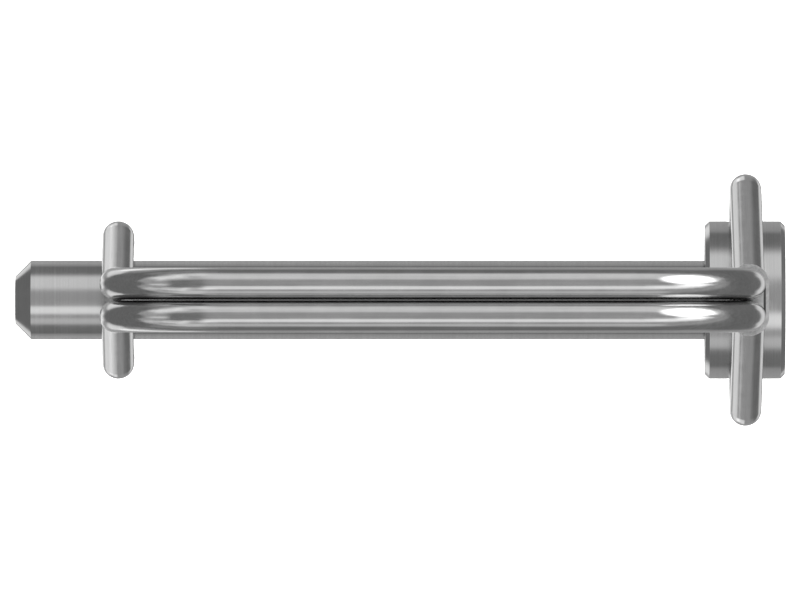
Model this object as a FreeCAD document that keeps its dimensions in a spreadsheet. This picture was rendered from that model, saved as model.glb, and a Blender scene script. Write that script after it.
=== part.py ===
import FreeCAD, Part
import Sketcher
import math
import os

# A hitch pin with a spring-wire bail, in millimetres.
# Origin: centre of the face under the head, on the pin's axis.
# +X runs to the head, -X to the tip, and the bail stands over the shank on the +Z side.
# Three pieces: the turned pin; one length of wire that passes through the pin's head, comes
# together into two strands beside each other, and snaps over the shank near the tip; and an
# oval sleeve pressed round both strands just above the head.

Vector = FreeCAD.Vector

document = FreeCAD.newDocument("hitch_pin_lock")

# ---------------------------------------------------------------- driving dimensions

DIMENSIONS = [
    ("shank_dia", 12.7, "half-inch shank"),
    ("shank_length", 111.125, "under the head to the tip, 4 3/8 inch"),
    ("tip_chamfer", 2.54, "45 degree lead at the tip"),
    ("head_dia", 25.4, "one-inch head"),
    ("head_length", 12.9, "along the pin's axis"),
    ("head_chamfer", 0.7, "both rims of the head"),
    ("hole_offset", 6.5, "under-head face to the cross hole's axis"),
    ("hole_clearance", 0.06, "radial play of the wire in the cross hole"),
    ("hole_mouth", 0.35, "rounding of the cross hole's two mouths"),
    ("wire_dia", 5.16, "13/64 inch spring wire"),
    ("wire_end_chamfer", 0.5, "broken edge at both cut ends"),
    ("strand_gap", 0.06, "between the two strands"),
    ("strand_height", 60.0, "pin's axis to the strands' centrelines"),
    ("strand_bend_head", 17.0, "bend at the head end of each strand"),
    ("strand_bend_tip", 16.5, "bend at the tip end of each strand"),
    ("head_end", 6.66, "where the strands come down at the head, along X"),
    ("tip_end", -94.5, "where the strands come down at the tip, and the clip's plane, along X"),
    ("head_leg_slope", 62.0, "sloping legs beside the head, below level, in degrees"),
    ("head_leg_standoff", 18.4, "pin's axis to the sloping legs' centrelines"),
    ("head_leg_half", 17.7, "pin's axis to the upright legs' centrelines"),
    ("clip_slope", 65.0, "sloping shoulders of the clip, below level, in degrees"),
    ("clip_standoff", 9.8, "pin's axis to the shoulders' centrelines"),
    ("clip_half", 10.27, "corner between shoulder and arm, from the pin's axis"),
    ("clip_mouth_half", 9.25, "ends of the arms, from the pin's axis"),
    ("clip_drop", 6.0, "how far the arms reach past the pin's axis"),
    ("neck_bend", 4.5, "bends where the strands part"),
    ("head_corner_bend", 5.7, "sloping leg to upright leg"),
    ("hole_bend", 4.0, "upright leg into the cross hole"),
    ("clip_corner_bend", 4.5, "shoulder to arm"),
    ("sleeve_wall", 0.55, "round the two strands"),
    ("sleeve_length", 7.0, "along the strands"),
    ("sleeve_foot", 35.7, "pin's axis to the sleeve's lower end"),
    ("sleeve_play", 0.02, "radial play of each strand in the sleeve"),
    ("seam_width", 0.3, "shallow line where the sleeve's side meets its web"),
    ("seam_depth", 0.4, "of those lines, in both end faces"),
]

sheet = document.addObject("Spreadsheet::Sheet", "dims")
for row, (alias, value, meaning) in enumerate(DIMENSIONS, start=1):
    sheet.set(f"A{row}", meaning)
    sheet.set(f"B{row}", str(value))
    sheet.setAlias(f"B{row}", alias)
document.recompute()


def size(alias):
    """A driving dimension, read back from the sheet."""
    return float(getattr(sheet, alias))


# ---------------------------------------------------------------- sketch helpers


def origin_plane(body, role):
    return next(item for item in body.Origin.OriginFeatures if item.Role == role)


def new_sketch(body, name, role):
    sketch = body.newObject("Sketcher::SketchObject", name)
    sketch.AttachmentSupport = [(origin_plane(body, role), "")]
    sketch.MapMode = "FlatFace"
    return sketch


def drive(sketch, name, constraint, expression):
    """Adds a named dimension to the sketch and binds it to the sheet."""
    index = sketch.addConstraint(constraint)
    sketch.renameConstraint(index, name)
    sketch.setExpression(f"Constraints.{name}", expression)


def add_outline(sketch, corners):
    """A closed outline of straight edges, from each corner to the next; returns its first edge's index."""
    first = sketch.GeometryCount
    count = len(corners)
    for i, corner in enumerate(corners):
        following = corners[(i + 1) % count]
        sketch.addGeometry(Part.LineSegment(Vector(*corner, 0), Vector(*following, 0)))
    for i in range(count):
        joined = Sketcher.Constraint("Coincident", first + i, 2, first + (i + 1) % count, 1)
        sketch.addConstraint(joined)
    return first


# ---------------------------------------------------------------- the turned pin


def make_pin():
    """Shank with a chamfered tip and a head with chamfered rims, cross-drilled for the wire."""
    body = document.addObject("PartDesign::Body", "pin")
    shank_radius = size("shank_dia") / 2
    head_radius = size("head_dia") / 2
    tip_x = -size("shank_length")
    head_x = size("head_length")
    lead = size("tip_chamfer")
    rim = size("head_chamfer")

    profile = new_sketch(body, "pin_profile", "XZ_Plane")
    corners = [
        (tip_x, 0),
        (tip_x, shank_radius - lead),
        (tip_x + lead, shank_radius),
        (0, shank_radius),
        (0, head_radius - rim),
        (rim, head_radius),
        (head_x - rim, head_radius),
        (head_x, head_radius - rim),
        (head_x, 0),
    ]
    add_outline(profile, corners)
    tip_face, tip_lead, shank, under_head, lower_rim, rim_land, upper_rim, head_face, axis = range(9)
    for edge in (tip_face, under_head, head_face):
        profile.addConstraint(Sketcher.Constraint("Vertical", edge))
    for edge in (shank, rim_land, axis):
        profile.addConstraint(Sketcher.Constraint("Horizontal", edge))
    origin_point, x_axis = (-1, 1), -1
    profile.addConstraint(Sketcher.Constraint("PointOnObject", tip_face, 1, x_axis))
    profile.addConstraint(Sketcher.Constraint("PointOnObject", shank, 2, -2))

    def width(name, edge, end, value, expression):
        constraint = Sketcher.Constraint("DistanceX", edge, end, *origin_point, value)
        drive(profile, name, constraint, expression)

    def height(name, edge, value, expression):
        constraint = Sketcher.Constraint("DistanceY", *origin_point, edge, 1, value)
        drive(profile, name, constraint, expression)

    width("tip", tip_face, 1, size("shank_length"), "dims.shank_length")
    width("lead_end", shank, 1, size("shank_length") - lead, "dims.shank_length - dims.tip_chamfer")
    height("tip_radius", tip_lead, shank_radius - lead, "dims.shank_dia / 2 - dims.tip_chamfer")
    height("shank_radius", shank, shank_radius, "dims.shank_dia / 2")
    height("rim_radius", lower_rim, head_radius - rim, "dims.head_dia / 2 - dims.head_chamfer")
    height("head_radius", rim_land, head_radius, "dims.head_dia / 2")
    height("top_rim_radius", head_face, head_radius - rim, "dims.head_dia / 2 - dims.head_chamfer")

    def reach(name, edge, value, expression):
        constraint = Sketcher.Constraint("DistanceX", *origin_point, edge, 1, value)
        drive(profile, name, constraint, expression)

    reach("land_start", rim_land, rim, "dims.head_chamfer")
    reach("land_end", upper_rim, head_x - rim, "dims.head_length - dims.head_chamfer")
    reach("head_top", head_face, head_x, "dims.head_length")

    turned = body.newObject("PartDesign::Revolution", "turned_blank")
    turned.Profile = profile
    turned.ReferenceAxis = (profile, ["H_Axis"])
    turned.Angle = 360
    document.recompute()
    blank_volume = turned.Shape.Volume

    hole_outline = new_sketch(body, "cross_hole_outline", "XZ_Plane")
    hole_radius = size("wire_dia") / 2 + size("hole_clearance")
    centre = Vector(size("hole_offset"), 0, 0)
    hole_outline.addGeometry(Part.Circle(centre, Vector(0, 0, 1), hole_radius))
    hole_outline.addConstraint(Sketcher.Constraint("PointOnObject", 0, 3, x_axis))
    offset = Sketcher.Constraint("DistanceX", *origin_point, 0, 3, centre.x)
    drive(hole_outline, "hole_offset", offset, "dims.hole_offset")
    radius = Sketcher.Constraint("Radius", 0, hole_radius)
    drive(hole_outline, "hole_radius", radius, "dims.wire_dia / 2 + dims.hole_clearance")

    hole = body.newObject("PartDesign::Pocket", "cross_hole")
    hole.Profile = hole_outline
    hole.Midplane = True
    hole.setExpression("Length", "dims.head_dia + 2")
    document.recompute()
    bored = blank_volume - hole.Shape.Volume
    expected = math.pi * hole_radius**2 * size("head_dia")
    if not 0.95 * expected < bored < expected:
        raise RuntimeError(f"the cross hole took {bored:.1f} mm3, expected a little under {expected:.1f}")

    mouths = []
    for number, edge in enumerate(hole.Shape.Edges, start=1):
        away = edge.CenterOfMass - centre
        reaches = abs(away.y) > head_radius - 1
        if reaches and math.hypot(away.x, away.z) < hole_radius / 2:
            mouths.append(f"Edge{number}")
    if len(mouths) != 2:
        raise RuntimeError(f"expected two hole mouths, found {len(mouths)}")
    rounded = body.newObject("PartDesign::Fillet", "hole_mouths")
    rounded.Base = (hole, mouths)
    rounded.setExpression("Radius", "dims.hole_mouth")
    body.Tip = rounded
    return body


# ---------------------------------------------------------------- the wire bail


def wire_corners():
    """Corners of one half of the wire, from its cut end to the cross hole, each with its bend radius."""
    neck = (size("wire_dia") + size("strand_gap")) / 2

    def on_slope(half, standoff, slope_deg):
        """Height at which a sloping centreline, standing off the pin's axis, is `half` from the middle."""
        slope = math.radians(slope_deg)
        return (standoff - half * math.sin(slope)) / math.cos(slope)

    clip_x = size("tip_end")
    clip_half = size("clip_half")
    clip_slope = (size("clip_standoff"), size("clip_slope"))
    clip = [
        (Vector(clip_x, size("clip_mouth_half"), -size("clip_drop")), 0),
        (Vector(clip_x, clip_half, on_slope(clip_half, *clip_slope)), size("clip_corner_bend")),
        (Vector(clip_x, neck, on_slope(neck, *clip_slope)), size("neck_bend")),
    ]
    top = size("strand_height")
    strand = [
        (Vector(clip_x, neck, top), size("strand_bend_tip")),
        (Vector(size("head_end"), neck, top), size("strand_bend_head")),
    ]
    hole_x = size("hole_offset")
    leg_half = size("head_leg_half")
    leg_slope = (size("head_leg_standoff"), size("head_leg_slope"))
    legs = [
        (Vector(size("head_end"), neck, on_slope(neck, *leg_slope)), size("neck_bend")),
        (Vector(hole_x, leg_half, on_slope(leg_half, *leg_slope)), size("head_corner_bend")),
        (Vector(hole_x, leg_half, 0), size("hole_bend")),
    ]
    return clip + strand + legs


def bent_path(corners):
    """Straight runs joined by tangent arcs, one arc at each corner that has a radius."""
    edges = []
    last = corners[0][0]
    for index in range(1, len(corners) - 1):
        corner, radius = corners[index]
        arriving = (corner - corners[index - 1][0]).normalize()
        leaving = (corners[index + 1][0] - corner).normalize()
        half_turn = arriving.getAngle(leaving) / 2
        setback = radius * math.tan(half_turn)
        arc_start = corner - arriving * setback
        arc_end = corner + leaving * setback
        inward = (leaving - arriving).normalize()
        arc_middle = corner + inward * (radius / math.cos(half_turn) - radius)
        edges.append(Part.LineSegment(last, arc_start).toShape())
        edges.append(Part.Arc(arc_start, arc_middle, arc_end).toShape())
        last = arc_end
    edges.append(Part.LineSegment(last, corners[-1][0]).toShape())
    return Part.Wire(edges)


def make_wire_bail():
    """One round wire swept along its bent centreline, with both cut ends chamfered."""
    half = wire_corners()
    other_half = [(Vector(point.x, -point.y, point.z), radius) for point, radius in reversed(half)]
    centreline = document.addObject("Part::Feature", "wire_centreline")
    centreline.Shape = bent_path(half + other_half)

    start = half[0][0]
    tangent = (half[1][0] - start).normalize()
    section = document.addObject("Part::Circle", "wire_section")
    section.setExpression("Radius", "dims.wire_dia / 2")
    section.Placement = FreeCAD.Placement(start, FreeCAD.Rotation(Vector(0, 0, 1), tangent))

    swept = document.addObject("Part::Sweep", "bent_wire")
    swept.Sections = [section]
    swept.Spine = (centreline, [f"Edge{n + 1}" for n in range(len(centreline.Shape.Edges))])
    swept.Solid = True
    document.recompute()
    expected = math.pi * (size("wire_dia") / 2) ** 2 * centreline.Shape.Length
    if abs(swept.Shape.Volume / expected - 1) > 0.002:
        raise RuntimeError(f"the wire's volume is {swept.Shape.Volume:.1f} mm3, expected {expected:.1f}")

    chamfer = size("wire_end_chamfer")
    cut_ends = []
    for number, edge in enumerate(swept.Shape.Edges, start=1):
        low_enough = edge.BoundBox.ZMax < start.z + 1
        if low_enough and edge.isClosed():
            cut_ends.append((number, chamfer, chamfer))
    if len(cut_ends) != 2:
        raise RuntimeError(f"expected two cut ends on the wire, found {len(cut_ends)}")
    bail = document.addObject("Part::Chamfer", "wire_bail")
    bail.Base = swept
    bail.Edges = cut_ends
    return bail


# ---------------------------------------------------------------- the sleeve


def add_seam(sketch, name, sign):
    """A thin rectangle beside the strands, ending flush with their outermost line on one side of them."""
    neck = (size("wire_dia") + size("strand_gap")) / 2
    outer_x = size("head_end") + sign * size("wire_dia") / 2
    inner_x = outer_x - sign * size("seam_width")
    outer = add_outline(sketch, [(outer_x, -neck), (outer_x, neck), (inner_x, neck), (inner_x, -neck)])
    inner = outer + 2
    start, end = 1, 2
    for edge, direction in ((outer + 1, "Horizontal"), (inner, "Vertical"), (outer + 3, "Horizontal")):
        sketch.addConstraint(Sketcher.Constraint(direction, edge))
    sketch.addConstraint(Sketcher.Constraint("Symmetric", outer, start, outer, end, -1))
    out = Sketcher.Constraint("DistanceX", -1, 1, outer, start, outer_x)
    drive(sketch, f"{name}_side", out, f"dims.head_end + {sign} * dims.wire_dia / 2")
    ends = [(inner, end), (outer, start)] if sign > 0 else [(outer, start), (inner, end)]
    width = Sketcher.Constraint("DistanceX", *ends[0], *ends[1], size("seam_width"))
    drive(sketch, f"{name}_width", width, "dims.seam_width")
    length = Sketcher.Constraint("DistanceY", outer, start, outer, end, 2 * neck)
    drive(sketch, f"{name}_length", length, "dims.wire_dia + dims.strand_gap")


def make_sleeve():
    """An oval block with a hole for each strand and a shallow seam beside them in both ends."""
    body = document.addObject("PartDesign::Body", "strand_sleeve")
    neck = (size("wire_dia") + size("strand_gap")) / 2
    middle_x = size("head_end")
    hole_radius = size("wire_dia") / 2 + size("sleeve_play")
    side = size("wire_dia") / 2 + size("sleeve_wall")
    side_rule = "(dims.wire_dia / 2 + dims.sleeve_wall)"
    neck_rule = "(dims.wire_dia + dims.strand_gap) / 2"

    outline = new_sketch(body, "sleeve_outline", "XY_Plane")
    upward = Vector(0, 0, 1)
    centres = [Vector(middle_x, neck, 0), Vector(middle_x, -neck, 0)]
    right, far_arc, left, near_arc, far_hole, near_hole = range(6)
    sides = [Vector(middle_x + side, 0, 0), Vector(middle_x - side, 0, 0)]
    reach = Vector(0, neck, 0)
    outline.addGeometry(Part.LineSegment(sides[0] - reach, sides[0] + reach))
    outline.addGeometry(Part.ArcOfCircle(Part.Circle(centres[0], upward, side), 0, math.pi))
    outline.addGeometry(Part.LineSegment(sides[1] + reach, sides[1] - reach))
    outline.addGeometry(Part.ArcOfCircle(Part.Circle(centres[1], upward, side), math.pi, 2 * math.pi))
    for centre in centres:
        outline.addGeometry(Part.Circle(centre, upward, hole_radius))
    start, end, middle = 1, 2, 3
    for first, second in ((right, far_arc), (far_arc, left), (left, near_arc), (near_arc, right)):
        outline.addConstraint(Sketcher.Constraint("Tangent", first, end, second, start))
    outline.addConstraint(Sketcher.Constraint("Coincident", far_hole, middle, far_arc, middle))
    outline.addConstraint(Sketcher.Constraint("Coincident", near_hole, middle, near_arc, middle))
    outline.addConstraint(Sketcher.Constraint("Equal", far_hole, near_hole))
    origin_point = (-1, 1)
    outline.addConstraint(Sketcher.Constraint("Symmetric", far_arc, middle, near_arc, middle, -1))
    across = Sketcher.Constraint("DistanceX", *origin_point, far_arc, middle, middle_x)
    drive(outline, "middle_x", across, "dims.head_end")
    apart = Sketcher.Constraint("DistanceY", *origin_point, far_arc, middle, neck)
    drive(outline, "strand_y", apart, neck_rule)
    drive(outline, "side", Sketcher.Constraint("Radius", far_arc, side), side_rule)
    bore = Sketcher.Constraint("Radius", far_hole, hole_radius)
    drive(outline, "hole_radius", bore, "dims.wire_dia / 2 + dims.sleeve_play")
    outline.setExpression("AttachmentOffset.Base.z", "dims.sleeve_foot")

    block = body.newObject("PartDesign::Pad", "sleeve_block")
    block.Profile = outline
    block.setExpression("Length", "dims.sleeve_length")
    document.recompute()
    solid_volume = block.Shape.Volume

    for end_name, height_rule, inward in (
        ("upper", "dims.sleeve_foot + dims.sleeve_length", False),
        ("lower", "dims.sleeve_foot", True),
    ):
        seams = new_sketch(body, f"{end_name}_seam_outlines", "XY_Plane")
        add_seam(seams, "outer", 1)
        add_seam(seams, "inner", -1)
        seams.setExpression("AttachmentOffset.Base.z", height_rule)
        cut = body.newObject("PartDesign::Pocket", f"{end_name}_seams")
        cut.Profile = seams
        cut.Reversed = inward
        cut.setExpression("Length", "dims.seam_depth")
        document.recompute()
        if not cut.Shape.Volume < solid_volume:
            raise RuntimeError(f"the {end_name} seams cut nothing")
        solid_volume = cut.Shape.Volume
        body.Tip = cut
    return body


# ---------------------------------------------------------------- build, test and write

pieces = {"pin": make_pin(), "wire_bail": make_wire_bail(), "strand_sleeve": make_sleeve()}
for name, piece in pieces.items():
    piece.Label = name
document.recompute()

for item in document.Objects:
    if "Invalid" in item.State or "Error" in item.State:
        raise RuntimeError(f"{item.Name} did not build: {item.State}")

os.makedirs("parts", exist_ok=True)
for name, piece in pieces.items():
    shape = piece.Shape
    if shape.isNull() or not shape.isValid():
        raise RuntimeError(f"{name} has no valid shape")
    box = shape.BoundBox
    print(
        f"{name}: {len(shape.Solids)} solid, {shape.Volume:.1f} mm3,"
        f" X {box.XMin:.2f} to {box.XMax:.2f}, Y {box.YMin:.2f} to {box.YMax:.2f},"
        f" Z {box.ZMin:.2f} to {box.ZMax:.2f}"
    )
    shape.exportStep(f"parts/{name}.step")
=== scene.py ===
import math

import bpy
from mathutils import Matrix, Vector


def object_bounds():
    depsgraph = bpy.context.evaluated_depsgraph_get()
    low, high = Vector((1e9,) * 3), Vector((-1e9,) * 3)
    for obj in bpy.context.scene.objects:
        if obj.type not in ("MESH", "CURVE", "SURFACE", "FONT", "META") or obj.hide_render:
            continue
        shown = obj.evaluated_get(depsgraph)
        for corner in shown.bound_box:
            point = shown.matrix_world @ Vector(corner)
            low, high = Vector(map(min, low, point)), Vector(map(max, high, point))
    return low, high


# A zinc-plated hitch pin with its spring-wire bail, seen square on from above over a pale studio floor.
# The pin runs along X with its head at +X, and the bail stands over it on the +Z side.

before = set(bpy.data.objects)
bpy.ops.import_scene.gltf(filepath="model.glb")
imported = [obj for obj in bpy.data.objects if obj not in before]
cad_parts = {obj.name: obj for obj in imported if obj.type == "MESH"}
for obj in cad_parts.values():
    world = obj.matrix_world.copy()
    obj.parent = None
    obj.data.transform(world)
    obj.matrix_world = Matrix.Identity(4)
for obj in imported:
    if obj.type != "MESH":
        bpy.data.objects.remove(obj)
cad_low, cad_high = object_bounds()

MM = 0.001


# ---------------------------------------------------------------- node helpers


class Nodes:
    """Short calls for building a node tree."""

    def __init__(self, tree):
        self.tree = tree

    def add(self, kind, **settings):
        node = self.tree.nodes.new(kind)
        for name, value in settings.items():
            setattr(node, name, value)
        return node

    def feed(self, socket, value):
        """Links a socket to another one, or sets it to a plain value."""
        if isinstance(value, bpy.types.NodeSocket):
            self.tree.links.new(value, socket)
        else:
            socket.default_value = value

    def math(self, operation, *values):
        node = self.add("ShaderNodeMath", operation=operation)
        for socket, value in zip(node.inputs, values):
            self.feed(socket, value)
        return node.outputs[0]

    def total(self, values):
        result = values[0]
        for value in values[1:]:
            result = self.math("ADD", result, value)
        return result

    def product(self, values):
        result = values[0]
        for value in values[1:]:
            result = self.math("MULTIPLY", result, value)
        return result

    def length(self, values):
        """The length of the vector that has these values along square axes."""
        return self.math("SQRT", self.total([self.product([value, value]) for value in values]))

    def ease(self, value, low, high, bottom=0.0, top=1.0):
        """Eases from bottom to top as value goes from low to high."""
        node = self.add("ShaderNodeMapRange", interpolation_type="SMOOTHSTEP")
        for socket, number in zip(node.inputs, (value, low, high, bottom, top)):
            self.feed(socket, number)
        return node.outputs[0]

    def band(self, value, middle, half_width, edge):
        """1 within half_width of the middle, easing to 0 over the edge."""
        away = self.math("ABSOLUTE", self.math("SUBTRACT", value, middle))
        return self.ease(away, half_width + edge, half_width)

    def split(self, vector):
        node = self.add("ShaderNodeSeparateXYZ")
        self.feed(node.inputs[0], vector)
        return node.outputs

    def join(self, x, y, z):
        node = self.add("ShaderNodeCombineXYZ")
        for socket, value in zip(node.inputs, (x, y, z)):
            self.feed(socket, value)
        return node.outputs[0]

    def noise(self, vector, scale, detail=2.0):
        """Smooth noise of 0 to 1, about 0.5 on average."""
        node = self.add("ShaderNodeTexNoise")
        self.feed(node.inputs["Vector"], vector)
        node.inputs["Scale"].default_value = scale
        node.inputs["Detail"].default_value = detail
        return node.outputs["Fac"]

    def swing(self, noise, amount):
        """Noise turned into a variation of about plus or minus the amount."""
        return self.ease(noise, 0.3, 0.7, -amount, amount)


# ---------------------------------------------------------------- studio

# Soft lamps all round, as
#   (middle, half width, soft edge) round the pin's axis, in degrees from straight up, positive towards +Y,
#   (middle, half width, soft edge) along the axis, in degrees from square, positive towards +X,
#   brightness.
LAMPS = [
    # The sky: all of it faintly, then its half over the head.
    ((0, 78, 12), (0, 72, 10), 0.07),
    ((0, 66, 16), (38, 45, 12), 0.22),
    # A long strip on the -Y side, which steps outwards as it nears the tip.
    ((-22, 8, 10), (25, 12, 10), 0.3),
    ((-30, 6, 11), (22, 30, 12), 0.8),
    ((-40, 6, 8), (-20, 8, 8), 0.5),
    ((-47, 8, 8), (-38, 8, 8), 0.6),
    # A fainter strip outside it.
    ((-66, 6, 9), (-8, 18, 12), 0.3),
    ((-67, 12, 8), (-38, 22, 10), 0.35),
    # A broad strip on the +Y side, with two patches further out.
    ((54, 13, 20), (-12, 40, 14), 0.5),
    ((57, 8, 10), (-40, 8, 10), 0.5),
    ((70, 8, 8), (-20, 8, 8), 0.25),
    ((75, 8, 10), (48, 14, 10), 0.4),
    # Patches in line with the pin, high on the head's side.
    ((-6, 10, 12), (47, 9, 12), 0.9),
    ((-15, 8, 8), (55, 10, 8), 0.8),
    # An arch beyond the tip, with a brighter patch in it.
    ((0, 70, 15), (-64, 9, 9), 0.28),
    ((-12, 6, 8), (-60, 6, 8), 0.45),
]
# The same, on both sides of the pin's axis: these lie level with the pin or below it.
LOW_LAMPS = [
    # Level with the pin.
    ((90, 12, 10), (-22, 12, 12), 0.15),
    ((98, 12, 10), (42, 34, 12), 0.03),
    # Below, on the tip's side.
    ((151, 9, 6), (-25, 7, 8), 0.7),
    ((141, 7, 5), (-11.5, 6.5, 5), 0.75),
    ((146, 22, 12), (-8, 18, 14), 0.25),
    ((180, 5, 6), (-18, 7, 10), 1.0),
    # Below, on the head's side.
    ((172, 8, 8), (24, 5, 6), 0.75),
]
# The big soft key lamp: centre and reach round the axis, centre and reach along it, softness, brightness.
KEY_AROUND = (36.5, 35.5)
KEY_ALONG = (42.5, 26.5)
KEY_SOFTNESS = 0.2
KEY_BRIGHTNESS = 2.6
# The light from everywhere else.
HORIZON = 0.235
WHITE = (1, 1, 1, 1)
PALE = (0.93, 0.93, 0.93, 1)
# Low enough for the bail to swing right past the pin.
FLOOR_HEIGHT = -130 * MM


def make_world():
    world = bpy.data.worlds.new("studio")
    bpy.context.scene.world = world
    world.use_nodes = True
    world.node_tree.nodes.clear()
    nodes = Nodes(world.node_tree)
    direction = nodes.add("ShaderNodeTexCoord").outputs["Generated"]
    along, across, up = nodes.split(direction)
    round_axis = nodes.math("DEGREES", nodes.math("ARCTAN2", across, up))
    tilt = nodes.math("DEGREES", nodes.math("ARCSINE", along))
    either_side = nodes.math("ABSOLUTE", round_axis)
    parts = [HORIZON]
    for angle, lamps in ((round_axis, LAMPS), (either_side, LOW_LAMPS)):
        for around, lengthwise, brightness in lamps:
            patch = [nodes.band(angle, *around), nodes.band(tilt, *lengthwise), brightness]
            parts.append(nodes.product(patch))
    away = nodes.length([
        nodes.math("DIVIDE", nodes.math("SUBTRACT", angle, centre), reach)
        for angle, (centre, reach) in ((round_axis, KEY_AROUND), (tilt, KEY_ALONG))
    ])
    parts.append(nodes.ease(away, 1 + KEY_SOFTNESS, 1 - KEY_SOFTNESS, 0, KEY_BRIGHTNESS))
    light = nodes.add("ShaderNodeBackground")
    nodes.feed(light.inputs["Strength"], nodes.total(parts))
    backdrop = nodes.add("ShaderNodeBackground")
    nodes.feed(backdrop.inputs["Color"], WHITE)
    path = nodes.add("ShaderNodeLightPath")
    choose = nodes.add("ShaderNodeMixShader")
    nodes.feed(choose.inputs[0], path.outputs["Is Camera Ray"])
    nodes.feed(choose.inputs[1], light.outputs[0])
    nodes.feed(choose.inputs[2], backdrop.outputs[0])
    output = nodes.add("ShaderNodeOutputWorld")
    nodes.feed(output.inputs["Surface"], choose.outputs[0])


def make_floor():
    mesh = bpy.data.meshes.new("floor")
    half_side = 3.0
    signs = ((-1, -1), (1, -1), (1, 1), (-1, 1))
    corners = [(x * half_side, y * half_side, FLOOR_HEIGHT) for x, y in signs]
    mesh.from_pydata(corners, [], [(0, 1, 2, 3)])
    floor = bpy.data.objects.new("floor", mesh)
    bpy.context.scene.collection.objects.link(floor)
    material = bpy.data.materials.new("pale_floor")
    material.use_nodes = True
    shader = material.node_tree.nodes["Principled BSDF"]
    shader.inputs["Base Color"].default_value = PALE
    shader.inputs["Roughness"].default_value = 0.9
    mesh.materials.append(material)
    floor.visible_glossy = False


def make_overhead_light():
    lamp = bpy.data.lights.new("overhead", "SUN")
    lamp.energy = 5
    lamp.angle = math.radians(90)
    light = bpy.data.objects.new("overhead", lamp)
    light.visible_glossy = False
    bpy.context.scene.collection.objects.link(light)


def make_camera():
    """Looks straight down on the bail from far away, with the pin across the picture."""
    camera = bpy.data.cameras.new("camera")
    camera.lens = 1200
    picture_width = 128.94 * MM
    distance = picture_width * camera.lens / camera.sensor_width
    camera.clip_start = 0.1
    camera.clip_end = 20
    holder = bpy.data.objects.new("camera", camera)
    holder.location = ((cad_low.x + cad_high.x) / 2, 0, distance)
    bpy.context.scene.collection.objects.link(holder)
    bpy.context.scene.camera = holder


# ---------------------------------------------------------------- metals

# Landmarks on the pin, in metres: its faces along X, and the shank's and head's radii.
TIP_FACE = -111.125 * MM
UNDER_HEAD = 0.0
HEAD_END = 12.9 * MM
SHANK_RADIUS = 6.35 * MM
HEAD_RADIUS = 12.7 * MM
# The middle of the strands, along X, where they come down to the head, and the wire's radius.
STRAND_END = 6.66 * MM
WIRE_RADIUS = 2.58 * MM
# The heights, on the strands' bends, between which the drawn lines turn from upright to level.
BEND_BOTTOM = 47 * MM
BEND_TOP = 55 * MM

DULL = (0.44, 0.44, 0.44, 1)
BRIGHT = (0.78, 0.78, 0.78, 1)
# Near black, for painted shade in creases, corners and seams.
PAINTED_SHADE = (0.09, 0.09, 0.09, 1)


class Metal(Nodes):
    """A bare metal whose polish, roughness and relief are set from a piece's own coordinates."""

    def __init__(self, name):
        self.material = bpy.data.materials.new(name)
        self.material.use_nodes = True
        super().__init__(self.material.node_tree)
        self.shader = self.tree.nodes["Principled BSDF"]
        self.shader.inputs["Metallic"].default_value = 1
        self.place = self.add("ShaderNodeTexCoord").outputs["Object"]
        self.x, self.y, self.z = self.split(self.place)

    def blend(self, factor, first, second):
        """Mixes two colours, which the mix node takes in sockets 6 and 7 and gives in its output 2."""
        node = self.add("ShaderNodeMix", data_type="RGBA", clamp_factor=True)
        self.feed(node.inputs["Factor"], factor)
        self.feed(node.inputs[6], first)
        self.feed(node.inputs[7], second)
        return node.outputs[2]

    def choose(self, factor, first, second):
        """Mixes two numbers, which the mix node takes in sockets 2 and 3 and gives in its output 0."""
        node = self.add("ShaderNodeMix", data_type="FLOAT")
        self.feed(node.inputs["Factor"], factor)
        self.feed(node.inputs[2], first)
        self.feed(node.inputs[3], second)
        return node.outputs[0]

    def finish(self, polish, painted_shade, roughness, relief, relief_depth):
        """Polish mixes from the dull to the bright metal, and a painted shade mask darkens it towards near
        black; relief is a height in units of relief_depth.
        """
        clean = self.blend(polish, DULL, BRIGHT)
        self.feed(self.shader.inputs["Base Color"], self.blend(painted_shade, clean, PAINTED_SHADE))
        self.feed(self.shader.inputs["Roughness"], roughness)
        bump = self.add("ShaderNodeBump")
        bump.inputs["Distance"].default_value = relief_depth
        self.feed(bump.inputs["Height"], relief)
        self.feed(self.shader.inputs["Normal"], bump.outputs[0])
        return self.material


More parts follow.
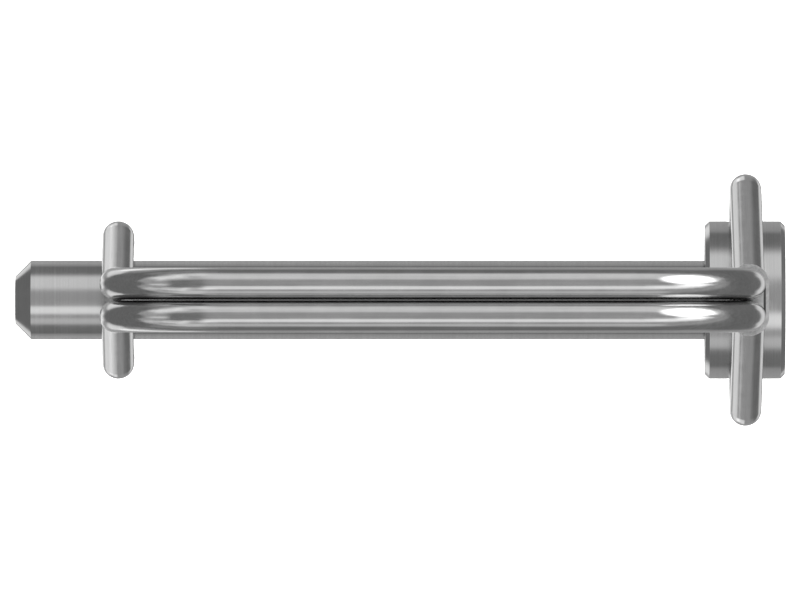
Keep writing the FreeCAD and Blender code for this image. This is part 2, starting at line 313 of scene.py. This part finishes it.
def make_pin_steel():
    """Turned all over: marks run round the axis, with bright rims, a plated mottle and painted shade in
    the corner under the head.
    """
    metal = Metal("pin_steel")
    radius = metal.length([metal.y, metal.z])
    rings = metal.join(metal.x, radius, 0.0)
    fine_rings = metal.noise(rings, scale=4500, detail=3)
    broad_rings = metal.noise(rings, scale=420, detail=2)
    mottle = metal.noise(metal.place, scale=260, detail=4)
    on_head = metal.ease(radius, SHANK_RADIUS + 0.5 * MM, SHANK_RADIUS + 1.5 * MM)
    rim_middle = 0.35 * MM
    rims = metal.product([
        on_head,
        metal.total([
            metal.band(metal.x, middle, half_width=0.3 * MM, edge=0.35 * MM)
            for middle in (rim_middle, HEAD_END - rim_middle)
        ]),
        metal.ease(radius, HEAD_RADIUS - 1.4 * MM, HEAD_RADIUS - 0.9 * MM),
    ])
    face_rings = metal.noise(metal.join(0.0, radius, 0.0), scale=3000, detail=2)
    # A point this near to a flat face lies on it.
    skin = 0.02 * MM
    ends = metal.total([metal.band(metal.x, face, skin, skin) for face in (TIP_FACE, HEAD_END)])
    under_head = metal.product([metal.band(metal.x, UNDER_HEAD, skin, skin), on_head])
    faced = metal.total([ends, under_head])
    polish = metal.total([
        0.5,
        metal.swing(fine_rings, 0.05),
        metal.swing(broad_rings, 0.015),
        metal.swing(mottle, 0.03),
        metal.product([rims, 0.15]),
        metal.product([faced, metal.swing(face_rings, 0.2)]),
    ])
    # Painted shade in the inside corner where the shank meets the head.
    corner = metal.product([
        metal.band(metal.x, UNDER_HEAD, half_width=0.05 * MM, edge=0.45 * MM),
        metal.ease(radius, SHANK_RADIUS + 0.6 * MM, SHANK_RADIUS),
    ])
    roughness = metal.total([
        0.175,
        metal.swing(mottle, 0.02),
        metal.swing(fine_rings, 0.02),
        metal.product([faced, metal.total([0.1, metal.swing(face_rings, 0.06)])]),
    ])
    relief = metal.total([fine_rings, metal.product([faced, face_rings, 2.0])])
    return metal.finish(polish, metal.product([corner, 0.5]), roughness, relief, 0.002 * MM)


def lengthwise_lines(metal, scale, detail):
    """Drawn lines that follow the wire: along X on the strands, and downwards where it leaves them."""
    along_x = metal.join(metal.product([metal.x, 0.02]), metal.y, metal.z)
    along_legs = metal.join(metal.x, metal.product([metal.y, 0.1]), metal.product([metal.z, 0.02]))
    on_strand = metal.noise(along_x, scale, detail)
    elsewhere = metal.noise(along_legs, scale, detail)
    return metal.choose(metal.ease(metal.z, BEND_BOTTOM, BEND_TOP), elsewhere, on_strand)


def make_wire_steel():
    """Drawn spring wire: faint lines along its length, and painted shade in the crease between the two
    strands.
    """
    metal = Metal("wire_steel")
    lines = lengthwise_lines(metal, scale=2600, detail=3)
    mottle = metal.noise(metal.place, scale=300, detail=4)
    # Painted shade in the crease between the two strands, above the head.
    above_head = metal.ease(metal.z, 20 * MM, 24 * MM)
    crease = metal.product([metal.band(metal.y, 0.0, half_width=0.2 * MM, edge=0.6 * MM), above_head])
    polish = metal.total([
        0.5,
        metal.swing(lines, 0.08),
        metal.swing(mottle, 0.06),
    ])
    roughness = metal.total([0.14, metal.swing(mottle, 0.03), metal.swing(lines, 0.02)])
    return metal.finish(polish, metal.product([crease, 0.45]), roughness, lines, 0.003 * MM)


def make_sleeve_steel():
    """Pressed sleeve: matt and slightly pitted, with painted shade in the seams of its end faces."""
    metal = Metal("sleeve_steel")
    pits = metal.noise(metal.place, scale=2400, detail=3)
    mottle = metal.noise(metal.place, scale=500, detail=3)
    # Painted shade along the seams of the sleeve's end faces.
    off_centre = metal.math("ABSOLUTE", metal.math("SUBTRACT", metal.x, STRAND_END))
    seam_middle = WIRE_RADIUS - 0.15 * MM
    seam = metal.product([
        metal.band(off_centre, seam_middle, half_width=0.13 * MM, edge=0.1 * MM),
        metal.band(metal.y, 0.0, half_width=WIRE_RADIUS, edge=0.2 * MM),
    ])
    polish = metal.total([0.45, metal.swing(pits, 0.15), metal.swing(mottle, 0.1)])
    roughness = metal.total([0.4, metal.swing(mottle, 0.06)])
    return metal.finish(polish, metal.product([seam, 0.9]), roughness, pits, 0.02 * MM)


make_world()
make_floor()
make_overhead_light()
make_camera()
steels = {
    "pin": make_pin_steel(),
    "wire_bail": make_wire_steel(),
    "strand_sleeve": make_sleeve_steel(),
}
for node, steel in steels.items():
    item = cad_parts[node]
    item.data.materials.clear()
    item.data.materials.append(steel)

bpy.context.scene.view_settings.view_transform = "Standard"
